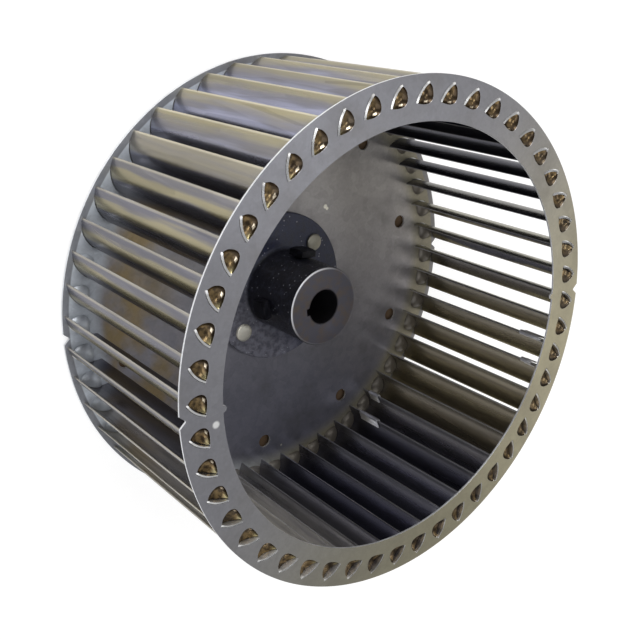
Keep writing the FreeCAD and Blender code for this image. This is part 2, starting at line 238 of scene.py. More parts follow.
class StageTones(bpy.types.PropertyGroup):
    floor: colour(0.80, 0.80, 0.80, "Floor")
    shadow: colour(0.12, 0.08, 0.05, "Floor under the wheel")
    seen: colour(0.3, 0.3, 0.3, "Floor that the camera sees")


def settings(group):
    return getattr(bpy.context.scene, "wheel_" + group)


# Node helpers -----------------------------------------------------------------------------------------------

class Nodes:
    # Builds a node tree: add() makes a node, sets its fields and fills its sockets by name or number

    def __init__(self, tree):
        self.tree = tree

    def fill(self, node, inputs):
        # An input takes either another node's output or a value
        for key, value in inputs.items():
            if isinstance(value, bpy.types.NodeSocket):
                self.tree.links.new(value, node.inputs[key])
            else:
                node.inputs[key].default_value = value

    def add(self, kind, inputs=None, **fields):
        node = self.tree.nodes.new(kind)
        for name, value in fields.items():
            setattr(node, name, value)
        self.fill(node, inputs or {})
        return node

    def math(self, operation, *values):
        return self.add("ShaderNodeMath", dict(enumerate(values)), operation=operation).outputs[0]

    def times(self, first, *others):
        for other in others:
            first = self.math("MULTIPLY", first, other)
        return first

    def mix(self, factor, first, second):
        return self.add("ShaderNodeMix", {0: factor, 6: first, 7: second}, data_type="RGBA").outputs[2]

    def blend_value(self, factor, first, second):
        return self.add("ShaderNodeMix", {0: factor, 2: first, 3: second}, data_type="FLOAT").outputs[0]

    def ramp(self, value, low, high, first=0.0, second=1.0):
        # A smooth step from first to second as the value goes from low to high
        node = self.add("ShaderNodeMapRange", {0: value, 1: low, 2: high, 3: first, 4: second},
                        interpolation_type="SMOOTHSTEP")
        return node.outputs[0]

    def fade(self, value, low, high):
        return self.ramp(value, low, high, 1.0, 0.0)

    def band(self, value, low, full, still_full, high):
        # 1 in the middle of a range of the value, 0 outside it
        return self.times(self.ramp(value, low, full), self.fade(value, still_full, high))

    def noise(self, place, scale, detail=3.0, roughness=0.55):
        node = self.add("ShaderNodeTexNoise",
                        {"Vector": place, "Scale": scale, "Detail": detail, "Roughness": roughness})
        return node.outputs["Fac"]

    def attribute(self, name):
        return self.add("ShaderNodeAttribute", attribute_name=name).outputs["Fac"]

    def place(self):
        return self.add("ShaderNodeTexCoord").outputs["Object"]

    def axes(self, vector):
        return tuple(self.add("ShaderNodeSeparateXYZ", {0: vector}).outputs)

    def scaled(self, place, scale):
        return self.add("ShaderNodeMapping", {"Vector": place, "Scale": scale}).outputs[0]

    def distance(self, place, centre=(0.0, 0.0)):
        # Distance from a line along the wheel's axis
        flat = self.scaled(place, (1.0, 1.0, 0.0))
        node = self.add("ShaderNodeVectorMath", {0: flat, 1: (*centre, 0.0)}, operation="DISTANCE")
        return node.outputs["Value"]

    def bump(self, height, strength, distance):
        node = self.add("ShaderNodeBump", {"Height": height, "Strength": strength, "Distance": distance})
        return node.outputs[0]


def new_group(name, kind, inputs, outputs):
    # The inputs and outputs are given by name, each with its kind of socket
    tree = bpy.data.node_groups.new(name, kind)
    for side, sockets in (("INPUT", inputs), ("OUTPUT", outputs)):
        for label, socket in sockets.items():
            tree.interface.new_socket(label, in_out=side, socket_type="NodeSocket" + socket)
    nodes = Nodes(tree)
    return nodes, nodes.add("NodeGroupInput").outputs, nodes.add("NodeGroupOutput")


# Shader groups ----------------------------------------------------------------------------------------------

def sheet_weather_group():
    # Coated sheet: a faint crystal pattern, soft stains and fine grain over a given colour
    nodes, given, result = new_group(
        "Sheet weathering", "ShaderNodeTree",
        {"Place": "Vector", "Colour": "Color", "Stain": "Color", "Stain Amount": "Float", "Mottle": "Float",
         "Roughness": "Float"},
        {"Colour": "Color", "Roughness": "Float", "Height": "Float"})
    place = given["Place"]
    crystals = nodes.add("ShaderNodeTexVoronoi", {"Vector": place, "Scale": 210.0}).outputs["Color"]
    tint = nodes.add("ShaderNodeSeparateColor", {0: crystals}).outputs[0]
    cloud = nodes.noise(place, 26.0, 4.0)
    fine = nodes.noise(place, 520.0, 2.0)
    mottle = nodes.math("MULTIPLY_ADD", nodes.math("SUBTRACT", tint, 0.5), given["Mottle"], 1.0)
    grain = nodes.math("MULTIPLY_ADD", nodes.math("SUBTRACT", fine, 0.5), 0.22, mottle)
    grained = nodes.add("ShaderNodeHueSaturation", {"Color": given["Colour"], "Value": grain}).outputs[0]
    stained = nodes.times(nodes.ramp(cloud, 0.45, 0.75), given["Stain Amount"])
    rough = nodes.math("MULTIPLY_ADD", cloud, 0.14, given["Roughness"])
    nodes.fill(result, {
        "Colour": nodes.mix(stained, grained, given["Stain"]),
        "Roughness": nodes.math("SUBTRACT", rough, 0.07),
        "Height": nodes.math("MULTIPLY_ADD", cloud, 0.5, nodes.times(fine, 0.5))})
    return nodes.tree


def empty_nodes(owner):
    owner.use_nodes = True
    owner.node_tree.nodes.clear()
    return Nodes(owner.node_tree)


def material(name, paint):
    # The material of that name, painted when it is first asked for
    found = bpy.data.materials.get(name)
    if not found:
        found = bpy.data.materials.new(name)
        nodes = empty_nodes(found)
        surface = nodes.add("ShaderNodeBsdfPrincipled")
        nodes.add("ShaderNodeOutputMaterial", {0: surface.outputs[0]})
        paint(nodes, surface)
    return found


def weathered(nodes, surface, place, tone, grime, stained, mottle, rough, bump, metallic):
    # Coated sheet of the given tone, by the group that the sheet metals share
    tree = bpy.data.node_groups.get("Sheet weathering") or sheet_weather_group()
    group = nodes.add("ShaderNodeGroup", {
        "Place": place, "Colour": tone, "Stain": grime, "Stain Amount": stained, "Mottle": mottle,
        "Roughness": rough}, node_tree=tree)
    nodes.fill(surface, {
        "Base Color": group.outputs["Colour"], "Roughness": group.outputs["Roughness"], "Metallic": metallic,
        "Normal": nodes.bump(group.outputs["Height"], bump, 0.2 * MM)})


def specks(nodes, place, scale, share):
    # A mask of scattered specks
    cells = nodes.add("ShaderNodeTexVoronoi", {"Vector": place, "Scale": scale})
    chance = nodes.add("ShaderNodeSeparateColor", {0: cells.outputs["Color"]}).outputs[1]
    near = nodes.fade(cells.outputs["Distance"], 0.18, 0.34)
    return nodes.times(nodes.math("LESS_THAN", chance, share), near)


def side_wall(nodes, pressed):
    # 1 on the sheared side walls of a flat sheet, 0 on its faces and in its pockets
    normal = nodes.add("ShaderNodeTexCoord").outputs["Normal"]
    upright = nodes.math("ABSOLUTE", nodes.axes(normal)[2])
    return nodes.times(nodes.fade(upright, 0.35, 0.8), nodes.math("SUBTRACT", 1.0, pressed))


def spots(nodes, place, tone, marks, mark_tone):
    # Soft round marks on a level face, each a place and a radius
    for centre, radius in marks:
        inside_mark = nodes.fade(nodes.distance(place, centre), radius * 0.5, radius)
        tone = nodes.mix(inside_mark, tone, mark_tone)
    return tone


RING_MARKS = (((-0.1263, -0.0395), 0.0026),)
PLATE_MARKS = (((0.0315, 0.0568), 0.002), ((0.0333, 0.0556), 0.0015), ((0.0323, -0.1203), 0.001))


def blade_material(nodes, surface):
    # The outer side carries a painted straw highlight near the tip and lavender towards the heel, with
    # streaks along the blade, a painted cool sheen band and a painted highlight line at the tip. On the left
    # of the wheel the painted straw highlight lies midway, on a painted grey reflection. The heels are
    # painted with shade at the far top and with a cream highlight at the far right. The inner side is painted
    # dark as shade, with a painted warm reflection on the right and painted pale reflections at the lower
    # left.
    tones = settings("blade_tones")
    across, hollow, cut, tone = (nodes.attribute(name) for name in ("across", "hollow", "cut", "tone"))
    place = nodes.place()
    x, y, _ = nodes.axes(place)
    long_way = nodes.scaled(place, (1.0, 1.0, 0.07))
    streak = nodes.noise(long_way, 240.0, 2.0)
    drift = nodes.noise(place, 14.0, 2.0)
    wander = nodes.math("ADD", *(nodes.math("MULTIPLY_ADD", noise, 0.3, -0.15) for noise in (streak, drift)))
    shifted = nodes.math("ADD", across, wander)

    # Painted reflection on the left of the wheel, where the straw highlight lies midway on painted grey
    left = nodes.times(nodes.ramp(x, -0.06, -0.1), nodes.ramp(y, 0.105, 0.06))
    at_tip = nodes.fade(shifted, 0.03, 0.34)
    straw = nodes.blend_value(left, at_tip, nodes.band(shifted, 0.12, 0.26, 0.36, 0.5))
    # A painted cool sheen band on the outer side
    cool = nodes.mix(nodes.band(shifted, 0.3, 0.42, 0.46, 0.6), tones.lavender, tones.sheen)
    banded = nodes.mix(straw, nodes.mix(left, cool, tones.grey), tones.straw)
    # Painted shade on the heels at the far top, and a painted cream highlight on those at the far right
    at_heel = nodes.ramp(across, 0.3, 0.5)
    far_top_shade = nodes.times(at_heel, nodes.ramp(y, 0.06, 0.1), nodes.ramp(x, -0.05, 0.0))
    far_right_highlight = nodes.times(at_heel, nodes.ramp(x, 0.095, 0.12), nodes.ramp(y, 0.1, 0.07))
    heeled = nodes.mix(far_right_highlight, nodes.mix(far_top_shade, banded, tones.shaded), tones.cream)
    # A painted highlight line along the tip edge, weaker on the left
    line = nodes.times(nodes.ramp(across, 0.01, 0.05, 0.85, 0.0), nodes.blend_value(left, 1.0, 0.45))
    outer = nodes.mix(line, heeled, tones.tip_highlight)

    # The inner side painted dark as shade, a little lighter on some blades
    dark = nodes.mix(nodes.ramp(tone, 0.35, 0.9), tones.navy, tones.lighter_inner_shade)
    # A painted warm reflection inside on the right, and painted pale streaks of reflection at the lower left,
    # where the blades are also less metallic
    right = nodes.times(nodes.ramp(x, 0.1, 0.13), nodes.ramp(y, 0.05, 0.0), nodes.ramp(y, -0.11, -0.08))
    low_left_reflection = nodes.times(nodes.ramp(x, 0.03, -0.06), nodes.ramp(y, -0.055, -0.115))
    streaked = nodes.times(low_left_reflection, nodes.ramp(streak, 0.3, 0.6, 0.6, 1.0))
    lit = nodes.mix(streaked, nodes.mix(right, dark, tones.warm), tones.pale)
    # A painted straw highlight near the tip on the inner side too
    inner = nodes.mix(nodes.ramp(shifted, 0.02, 0.1, 0.6, 0.0), lit, tones.straw)

    # Grey sheared ends, with a painted glint at the tip corner
    ends = nodes.mix(nodes.fade(across, 0.03, 0.16), tones.cut, tones.corner_glint)
    edged = nodes.mix(cut, nodes.mix(hollow, outer, inner), ends)
    weathered(nodes, surface, long_way, edged, tones.grime, stained=0.35, mottle=0.25, rough=0.27, bump=0.12,
              metallic=nodes.blend_value(low_left_reflection, 0.9, 0.5))


def ring_material(nodes, surface):
    # Painted cool reflection on the left and painted warm reflection on the right, with bright sheared edges.
    # In the pressed pockets a painted gold reflection lies over painted shade at the steep rim and dirt in
    # patches, with a painted reflection at the shallow end and a painted glint
    tones = settings("ring_tones")
    pressed, fall, along = (nodes.attribute(name) for name in ("pressed", "fall", "along"))
    place = nodes.place()
    x, y, _ = nodes.axes(place)
    # Painted cool reflection on the left and painted warm reflection on the right
    side = nodes.math("ADD", nodes.times(x, 4.2), nodes.times(y, -2.5))
    face = nodes.mix(nodes.ramp(side, -0.35, 0.6), tones.cool, tones.warm)
    # Painted gold reflection in the pockets, over painted shade at the steep rim and dirt in patches
    patch = nodes.noise(place, 330.0, 3.0)
    gold = nodes.times(nodes.ramp(fall, 0.12, 0.5), nodes.ramp(patch, 0.35, 0.62))
    reflected_gold = nodes.mix(gold, tones.soot, tones.pocket)
    # A painted reflection at the shallow end of each pocket
    sloped = nodes.mix(nodes.ramp(along, 0.72, 0.95, 0.0, 0.75), reflected_gold, tones.shallow)
    # A painted glint spot in each pocket
    off_spot = nodes.math("ADD", *(nodes.math("ABSOLUTE", nodes.math("SUBTRACT", value, centre))
                                   for value, centre in ((along, 0.62), (fall, 0.16))))
    hollow = nodes.mix(nodes.fade(off_spot, 0.05, 0.11), sloped, tones.glint)
    edged = nodes.mix(side_wall(nodes, pressed), nodes.mix(pressed, face, hollow), tones.wall)
    marked = spots(nodes, place, edged, RING_MARKS, tones.mark)
    weathered(nodes, surface, place, marked, tones.grime, stained=0.3, mottle=0.07,
              rough=nodes.blend_value(pressed, 0.4, 0.24), bump=0.15, metallic=0.85)


def plate_material(nodes, surface):
    # Grey, painted lighter on the upper side and darker as shade on the lower side, with painted light at the
    # rim (pale on the left, olive on the right), a brown stain inside the rim on the left and painted shade
    # in the pockets, more on the right
    tones = settings("plate_tones")
    pressed = nodes.attribute("pressed")
    place = nodes.place()
    x, y, _ = nodes.axes(place)
    radius = nodes.distance(place)
    # Painted shade on the lower side, painted light on the upper side
    face = nodes.mix(nodes.ramp(y, -0.10, 0.10), tones.cool, tones.warm)
    # Painted light at the rim, pale on the left and olive on the right, where the rim is also less metallic
    rim = nodes.mix(nodes.ramp(x, -0.05, 0.06), tones.rim_light_left, tones.rim_light_right)
    rim_light_zone = nodes.ramp(radius, 0.124, 0.136)
    cloud = nodes.ramp(nodes.noise(place, 32.0), 0.35, 0.6)
    stain = nodes.times(nodes.ramp(x, -0.03, -0.08), cloud, nodes.band(radius, 0.07, 0.1, 0.124, 0.13))
    stained = nodes.mix(stain, nodes.mix(rim_light_zone, face, rim), tones.brown)
    # Painted shade in the pockets, more on the right
    pocket_shade_mask = nodes.times(pressed, nodes.ramp(x, -0.06, -0.01, 0.15, 0.85))
    pocket_shaded = nodes.mix(pocket_shade_mask, stained, tones.dust)
    lined = nodes.mix(nodes.ramp(radius, 0.1480, 0.1488, 0.0, 0.8), pocket_shaded, tones.rim_line)
    edged = nodes.mix(side_wall(nodes, pressed), lined, tones.wall)
    marked = spots(nodes, place, edged, PLATE_MARKS, tones.mark)
    weathered(nodes, surface, place, marked, tones.grime, stained=0.45, mottle=0.14, rough=0.42, bump=0.2,
              metallic=nodes.blend_value(rim_light_zone, 0.8, 0.35))


def hub_material(nodes, surface):
    # Black on the barrel, the flange blue-black with dirt and a painted sheen on its lower left, and painted
    # highlight specks all over
    tones = settings("hub_tones")
    place = nodes.place()
    x, y, z = nodes.axes(place)
    coarse = nodes.noise(place, 300.0, 3.0, 0.6)
    fine = nodes.noise(place, 1100.0, 2.0)
    barrel = nodes.mix(nodes.ramp(coarse, 0.45, 0.75), tones.black, tones.worn_black)
    # A painted sheen on the lower left of the flange
    side = nodes.math("SUBTRACT", nodes.times(x, -0.7), y)
    sheened_flange = nodes.mix(nodes.ramp(side, 0.0, 0.045), tones.blue_black, tones.slate)
    flange = nodes.mix(nodes.ramp(coarse, 0.3, 0.65, 0.35, 1.0), tones.soot, sheened_flange)
    on_flange = nodes.ramp(z, flange_top() + 2 * MM, flange_top() + 0.1 * MM)
    # Painted highlight specks
    highlight_specks = nodes.times(specks(nodes, place, 620.0, 0.09), 0.7)
    dotted = nodes.mix(highlight_specks, nodes.mix(on_flange, barrel, flange), tones.speck)
    height = nodes.math("MULTIPLY_ADD", coarse, 0.6, nodes.times(fine, 0.4))
    nodes.fill(surface, {
        "Base Color": dotted, "Roughness": nodes.ramp(fine, 0.3, 0.7, 0.3, 0.5), "Metallic": 0.0,
        "Specular IOR Level": 0.45, "Normal": nodes.bump(height, 0.9, 0.5 * MM)})


def machined_material(nodes, surface):
    # Turned rings with blotches, a dark bore, and a painted highlight on the outer edge towards the upper
    # left
    sizes, tones = settings("hub"), settings("hub_tones")
    place = nodes.place()
    x, y, _ = nodes.axes(place)
    radius = nodes.distance(place)
    grooves = nodes.math("SINE", nodes.times(radius, 14000.0))
    blotch = nodes.noise(place, 180.0, 4.0)
    face = nodes.mix(nodes.ramp(blotch, 0.4, 0.7), tones.machined, tones.blotch)
    at_edge = nodes.ramp(radius, sizes.barrel - 1.6 * MM, sizes.barrel - 0.8 * MM)
    # A painted highlight on the outer edge towards the upper left
    upper_left = nodes.math("SUBTRACT", nodes.times(y, 0.45), x)
    edge = nodes.times(at_edge, nodes.ramp(upper_left, 0.004, 0.024, 0.12, 1.0))
    edged = nodes.mix(edge, face, tones.edge_highlight)
    in_bore = nodes.ramp(radius, sizes.bore + 1.2 * MM, sizes.bore + 0.3 * MM)
    nodes.fill(surface, {
        "Base Color": nodes.mix(in_bore, edged, tones.bore), "Metallic": 0.8,
        "Roughness": nodes.ramp(blotch, 0.3, 0.7, 0.34, 0.5), "Normal": nodes.bump(grooves, 0.25, 0.08 * MM)})


def rivet_material(nodes, surface):
    tones = settings("hub_tones")
    place = nodes.place()
    # Painted light and shade: the lower rivets lighter, the upper ones darker
    steel = nodes.mix(nodes.ramp(nodes.axes(place)[1], -0.02, 0.02), tones.low_rivet_painted_light, tones.high_rivet_painted_shade)
    weathered(nodes, surface, place, steel, tones.rivet_grime, stained=0.4, mottle=0.1, rough=0.38, bump=0.25,
              metallic=0.75)


def screw_material(nodes, surface):
    tones = settings("hub_tones")
    cloud = nodes.noise(nodes.place(), 350.0, 3.0)
    nodes.fill(surface, {
        "Base Color": nodes.mix(nodes.ramp(cloud, 0.4, 0.75), tones.screw, tones.worn_screw), "Metallic": 0.0,
        "Roughness": nodes.ramp(cloud, 0.3, 0.7, 0.35, 0.5), "Specular IOR Level": 0.15,
        "Normal": nodes.bump(cloud, 0.2, 0.2 * MM)})


def clip_material(nodes, surface):
    tones = settings("hub_tones")
    weathered(nodes, surface, nodes.place(), tones.clip, tones.clip_grime, stained=0.3, mottle=0.15,
              rough=0.3, bump=0.2, metallic=0.9)


# Mesh helpers -----------------------------------------------------------------------------------------------

def polar(radius, turn):
    return Vector((radius * math.cos(turn), radius * math.sin(turn)))


def circle(radius, steps, centre=Vector((0, 0)), turn=0.0):
    return [centre + polar(radius, turn + TURN * i / steps) for i in range(steps)]


def link(name, data):
    thing = bpy.data.objects.new(name, data)
    bpy.context.scene.collection.objects.link(thing)
    return thing


def mesh_from(name, points, faces):
    mesh = bpy.data.meshes.new(name)
    mesh.from_pydata([tuple(point) for point in points], [], faces)
    mesh.validate()
    return mesh


@contextmanager
def editing(mesh):
    work = bmesh.new()
    work.from_mesh(mesh)
    yield work
    work.to_mesh(mesh)
    work.free()


def clean(mesh, distance=1e-6, outward=True):
    with editing(mesh) as work:
        bmesh.ops.remove_doubles(work, verts=work.verts, dist=distance)
        bmesh.ops.dissolve_degenerate(work, edges=work.edges, dist=1e-7)
        if outward:
            bmesh.ops.recalc_face_normals(work, faces=work.faces)


def solid_from(name, points, faces):
    mesh = mesh_from(name, points, faces)
    clean(mesh)
    return mesh


def shade(mesh, degrees):
    mesh.shade_smooth()
    mesh.set_sharp_from_angle(angle=math.radians(degrees))


def modify(piece, name, kind, **fields):
    modifier = piece.modifiers.new(name, kind)
    for field, value in fields.items():
        setattr(modifier, field, value)
    return modifier


def soften(piece, width, degrees):
    # Rounds the edges that are sharper than the angle
    modify(piece, "Edge", "BEVEL", width=width, segments=2, limit_method="ANGLE",
           angle_limit=math.radians(degrees))


def bake_modifiers(piece):
    # Replaces the piece's mesh by what its modifiers give, and takes the modifiers off
    bpy.context.view_layer.update()
    graph = bpy.context.evaluated_depsgraph_get()
    mesh = bpy.data.meshes.new_from_object(piece.evaluated_get(graph), depsgraph=graph)
    piece.modifiers.clear()
    old = piece.data
    piece.data = mesh
    bpy.data.meshes.remove(old)
    mesh.name = piece.name
    return mesh


def discard(*pieces):
    for piece in pieces:
        mesh = piece.data
        bpy.data.objects.remove(piece)
        if mesh.users == 0:
            bpy.data.meshes.remove(mesh)


def dress(piece, body, nodes):
    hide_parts(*nodes)
    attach(piece, body)


def store(mesh, names, marks):
    # Named values for the materials, from one tuple of marks a point
    for name, values in zip(names, zip(*marks)):
        mesh.attributes.new(name, "FLOAT", "POINT").data.foreach_set("value", values)


def walls(size, levels, closed=False):
    # Faces between each ring of points and the next
    faces = []
    for level in range(levels if closed else levels - 1):
        here, there = level * size, (level + 1) % levels * size
        for i in range(size):
            j = (i + 1) % size
            faces.append((here + i, here + j, there + j, there + i))
    return faces


def revolved(name, profile, steps):
    # A closed solid from a closed outline of (radius, height) pairs
    points = [(*polar(radius, TURN * step / steps), height)
              for step in range(steps) for radius, height in profile]
    return solid_from(name, points, walls(len(profile), steps, closed=True))


def rounded(before, corner, after, radius, steps=5):
    # Points of an arc that rounds a corner of an outline
    corner = Vector(corner)
    first, second = ((Vector(end) - corner).normalized() for end in (before, after))
    half = first.angle(second) / 2
    reach = radius / math.tan(half)
    centre = corner + (first + second).normalized() * radius / math.sin(half)
    start, end = (corner + way * reach - centre for way in (first, second))
    swing = start.angle_signed(end)
    return [tuple(centre + Matrix.Rotation(-swing * i / steps, 2) @ start) for i in range(steps + 1)]


# Geometry Nodes ---------------------------------------------------------------------------------------------

def around_tree():
    # Copies of a piece at even turns about the axis. At one place and again half a turn on, an odd piece
    # can stand in for it.
    nodes, given, result = new_group(
        "Around the axis", "GeometryNodeTree",
        {"Piece": "Object", "Odd Piece": "Object", "Count": "Int", "First Turn": "Float", "Odd Index": "Int",
         "Surface": "Material", "Seed": "Int"},
        {"Geometry": "Geometry"})
    line = nodes.add("GeometryNodeMeshLine", {"Count": given["Count"], "Offset": (0.0, 0.0, 0.0)})
    index = nodes.add("GeometryNodeInputIndex").outputs[0]
    step = nodes.math("DIVIDE", TURN, given["Count"])
    turn = nodes.math("MULTIPLY_ADD", index, step, given["First Turn"])
    rotation = nodes.add("ShaderNodeCombineXYZ", {2: turn}).outputs[0]
    half = nodes.math("DIVIDE", given["Count"], 2.0)
    place = nodes.math("MODULO", index, half)
    odd = nodes.add("FunctionNodeCompare", {2: place, 3: given["Odd Index"]},
                    data_type="INT", operation="EQUAL").outputs[0]
    plain = nodes.add("FunctionNodeBooleanMath", {0: odd}, operation="NOT").outputs[0]
    joined = nodes.add("GeometryNodeJoinGeometry")
    for chosen, source in ((odd, given["Odd Piece"]), (plain, given["Piece"])):
        form = nodes.add("GeometryNodeObjectInfo", {"Object": source}).outputs["Geometry"]
        copies = nodes.add("GeometryNodeInstanceOnPoints", {
            "Points": line.outputs[0], "Selection": chosen, "Instance": form, "Rotation": rotation})
        nodes.fill(joined, {0: copies.outputs[0]})
    random = nodes.add("FunctionNodeRandomValue", {"Seed": given["Seed"]}, data_type="FLOAT")
    toned = nodes.add("GeometryNodeStoreNamedAttribute", {
        "Geometry": joined.outputs[0], "Name": "tone", "Value": random.outputs[1]},
        data_type="FLOAT", domain="INSTANCE")
    real = nodes.add("GeometryNodeRealizeInstances", {0: toned.outputs[0]})
    merged = nodes.add("GeometryNodeMergeByDistance", {"Geometry": real.outputs[0], "Distance": 2e-6})
    painted = nodes.add("GeometryNodeSetMaterial",
                        {"Geometry": merged.outputs[0], "Material": given["Surface"]})
    nodes.fill(result, {"Geometry": painted.outputs[0]})
    return nodes.tree


def spread(name, piece, number, first_turn, surface, odd_piece=None, odd_index=-1, seed=3):
    # A new piece made of the copies, in place of the pieces that it repeats
    tree = bpy.data.node_groups.get("Around the axis") or around_tree()
    whole = link(name, bpy.data.meshes.new(name))
    modifier = modify(whole, "Around the axis", "NODES", node_group=tree)
    values = {"Piece": piece, "Odd Piece": odd_piece, "Count": number, "First Turn": first_turn,
              "Odd Index": odd_index, "Surface": surface, "Seed": seed}
    for item in tree.interface.items_tree:
        if item.in_out == "INPUT" and values.get(item.name) is not None:
            modifier[item.identifier] = values[item.name]
    bake_modifiers(whole)
    discard(*(source for source in (piece, odd_piece) if source))
    return whole


# The lanced sheet -------------------------------------------------------------------------------------------

def arc_centre():
    return WHEEL_RADIUS - settings("blades").centre_inset


def on_arc(radius, turn):
    return Vector((arc_centre() + radius * math.cos(turn), radius * math.sin(turn)))


def smooth_path(points, steps):
    # A smooth line through the points, cut into even steps
    dense = []
    ends = [points[0] * 2 - points[1]] + points + [points[-1] * 2 - points[-2]]
    for i in range(1, len(ends) - 2):
        a, b, c, d = ends[i - 1:i + 3]
        for t in (j / 8 for j in range(8)):
            dense.append(0.5 * (2 * b + (c - a) * t + (2 * a - 5 * b + 4 * c - d) * t * t
                                + (3 * b - a - 3 * c + d) * t ** 3))
    dense.append(points[-1])
    walked = [0.0]
    for a, b in zip(dense, dense[1:]):
        walked.append(walked[-1] + (b - a).length)
    result, i = [], 0
    for step in range(steps + 1):
        goal = walked[-1] * step / steps
        while i < len(dense) - 2 and walked[i + 1] < goal:
            i += 1
        share = (goal - walked[i]) / (walked[i + 1] - walked[i])
        result.append(dense[i].lerp(dense[i + 1], min(1, share)))
    return result


# How the pocket's rim runs from the tab's tip to its heel, in mm across and outward from the tip
POCKET_SHAPE = ((-2.0, -1.6), (-3.3, -3.9), (-3.9, -6.2), (-3.7, -8.2), (-2.6, -9.9), (-0.6, -10.9),
                (2.4, -11.3), (5.0, -11.2))
POCKET_STEPS = 22
POCKET_ROWS = 12
SECTOR_START = math.radians(2.1)
SECTOR_STEPS = 6
SIDE_STEPS = 5
SLOT_STEPS = 10
NUB_STEPS = 10
HOLE_STEPS = 36
SHEET_MARKS = ("pressed", "fall", "along")


def pocket_lines():
    # The rim of the pressed hollow and the sheared edge over it, both from the tab's tip to its heel, and the
    # slot's far side, from heel to tip
    sizes, blade = settings("sheet"), settings("blades")
    sheared = blade.arc_radius - blade.gauge / 2 - sizes.lance_gap
    slack = 0.4 * MM / blade.arc_radius
    start, end = blade.tab_tip - slack, blade.tab_heel + slack
    edge = [on_arc(sheared, start + (end - start) * i / POCKET_STEPS) for i in range(POCKET_STEPS + 1)]
    shape = [edge[0] + Vector((outward, across)) * MM for across, outward in POCKET_SHAPE]
    rim = smooth_path([edge[0], *shape, edge[-1]], POCKET_STEPS)
    far = blade.arc_radius + blade.gauge / 2 + sizes.slot_gap
    back = [on_arc(far, end + (start - end) * i / SLOT_STEPS) for i in range(SLOT_STEPS + 1)]
    return rim, edge, back


def sector_outline(inner, outer, notched, nub):
    # One pitch of the sheet, counter-clockwise, with the notch and the nub where it has them
    sizes, blade = settings("sheet"), settings("blades")
    pitch = TURN / blade.blades
    turns = [SECTOR_START + pitch * i / SECTOR_STEPS for i in range(SECTOR_STEPS + 1)]
    here = sizes.notch_angle - blade.first - pitch

    def arc(radius, feature=(), half=0.0):
        # The pitch's arc, with the feature's points in place of those that lie within half its width
        before = [polar(radius, turn) for turn in turns if not feature or turn < here - half]
        after = [polar(radius, turn) for turn in turns if feature and turn > here + half]
        return before + list(feature) + after

    rim, bore = arc(outer), arc(inner)
    if notched:
        half, floor = sizes.notch_half_angle, outer - sizes.notch_depth
        mouth = ((outer, -half), (floor, -0.12 * half), (floor, 0.12 * half), (outer, half))
        rim = arc(outer, [polar(radius, here + turn) for radius, turn in mouth], half)
    if nub:
        wide = sizes.nub_half_width / inner
        swings = [math.pi * i / NUB_STEPS for i in range(NUB_STEPS + 1)]
        stub = [polar(inner - nub * math.sin(swing), here - wide * math.cos(swing)) for swing in swings]
        bore = arc(inner, stub, wide * 1.05)
    radii = [inner + (outer - inner) * i / SIDE_STEPS for i in range(1, SIDE_STEPS)]
    near = [polar(radius, turns[0]) for radius in radii]
    far = [polar(radius, turns[-1]) for radius in radii[::-1]]
    return near + rim + far + bore[::-1]


def inside(point, outline):
    hit = False
    for a, b in zip(outline, outline[1:] + outline[:1]):
        if (a.y > point.y) != (b.y > point.y):
            if point.x < a.x + (point.y - a.y) / (b.y - a.y) * (b.x - a.x):
                hit = not hit
    return hit


def fill(outline, holes):
    # Triangles of a flat region with holes
    points, edges = [], []
    for ring in [outline, *holes]:
        first = len(points)
        points += ring
        edges += [(first + i, first + (i + 1) % len(ring)) for i in range(len(ring))]
    flat, _, faces, *_ = delaunay_2d_cdt(points, edges, [], 0, 1e-8)
    kept = []
    for face in faces:
        middle = sum((flat[i] for i in face), Vector((0, 0))) / len(face)
        if inside(middle, outline) and not any(inside(middle, hole) for hole in holes):
            kept.append(tuple(face))
    return list(flat), kept


def sheet_face(name, points, faces, marks, inward):
    # A sheet's outer face, looking away from the inward side
    mesh = mesh_from(name, points, faces)
    store(mesh, SHEET_MARKS, marks)
    clean(mesh, 2e-7, outward=False)
    with editing(mesh) as work:
        for face in work.faces:
            if face.normal.z * inward > 0:
                face.normal_flip()
    return link(name, mesh)


def lanced_sector(name, inner, outer, notched, nub, face_height, inward):
    # One pitch of the sheet's outer face: flat, with the pocket pressed inward beside the slot for a tab
    depth = settings("sheet").pocket_depth
    rim, edge, back = pocket_lines()
    flat, faces = fill(sector_outline(inner, outer, notched, nub), [rim + back])
    points = [(p.x, p.y, face_height) for p in flat]
    marks = [(0.0, 0.0, 0.0)] * len(points)
    start, row = len(points), POCKET_ROWS + 1
    for i in range(POCKET_STEPS + 1):
        share = i / POCKET_STEPS
        end = i in (0, POCKET_STEPS)
        deep = 0 if end else depth * math.sin(math.pi * share) ** 0.7
        for j in range(row):
            fall = (j / POCKET_ROWS) ** 1.7
            place = rim[i].lerp(edge[i], fall)
            drop = deep * (1 - (1 - fall) ** 4.5)
            points.append((place.x, place.y, face_height + inward * drop))
            marks.append((0.0 if end or j == 0 else 1.0, fall, share))
    for i in range(POCKET_STEPS):
        for j in range(POCKET_ROWS):
            a = start + i * row + j
            faces.append((a, a + 1, a + row + 1, a + row))
    return sheet_face(name, points, faces, marks, inward)


def disc_with_holes(name, rim_radius, face_height, inward):
    # The back plate inside its lanced band
    sizes, blade = settings("sheet"), settings("blades")
    holes = [circle(sizes.shaft_hole, 2 * HOLE_STEPS)]
    for i in range(sizes.hole_count):
        turn = sizes.hole_angle + TURN * i / sizes.hole_count
        holes.append(circle(sizes.hole_radius, HOLE_STEPS, polar(sizes.hole_circle, turn)))
    outline = circle(rim_radius, blade.blades * SECTOR_STEPS, turn=blade.first + SECTOR_START)
    flat, faces = fill(outline, holes)
    points = [(p.x, p.y, face_height) for p in flat]
    return sheet_face(name, points, faces, [(0.0, 0.0, 0.0)] * len(points), inward)


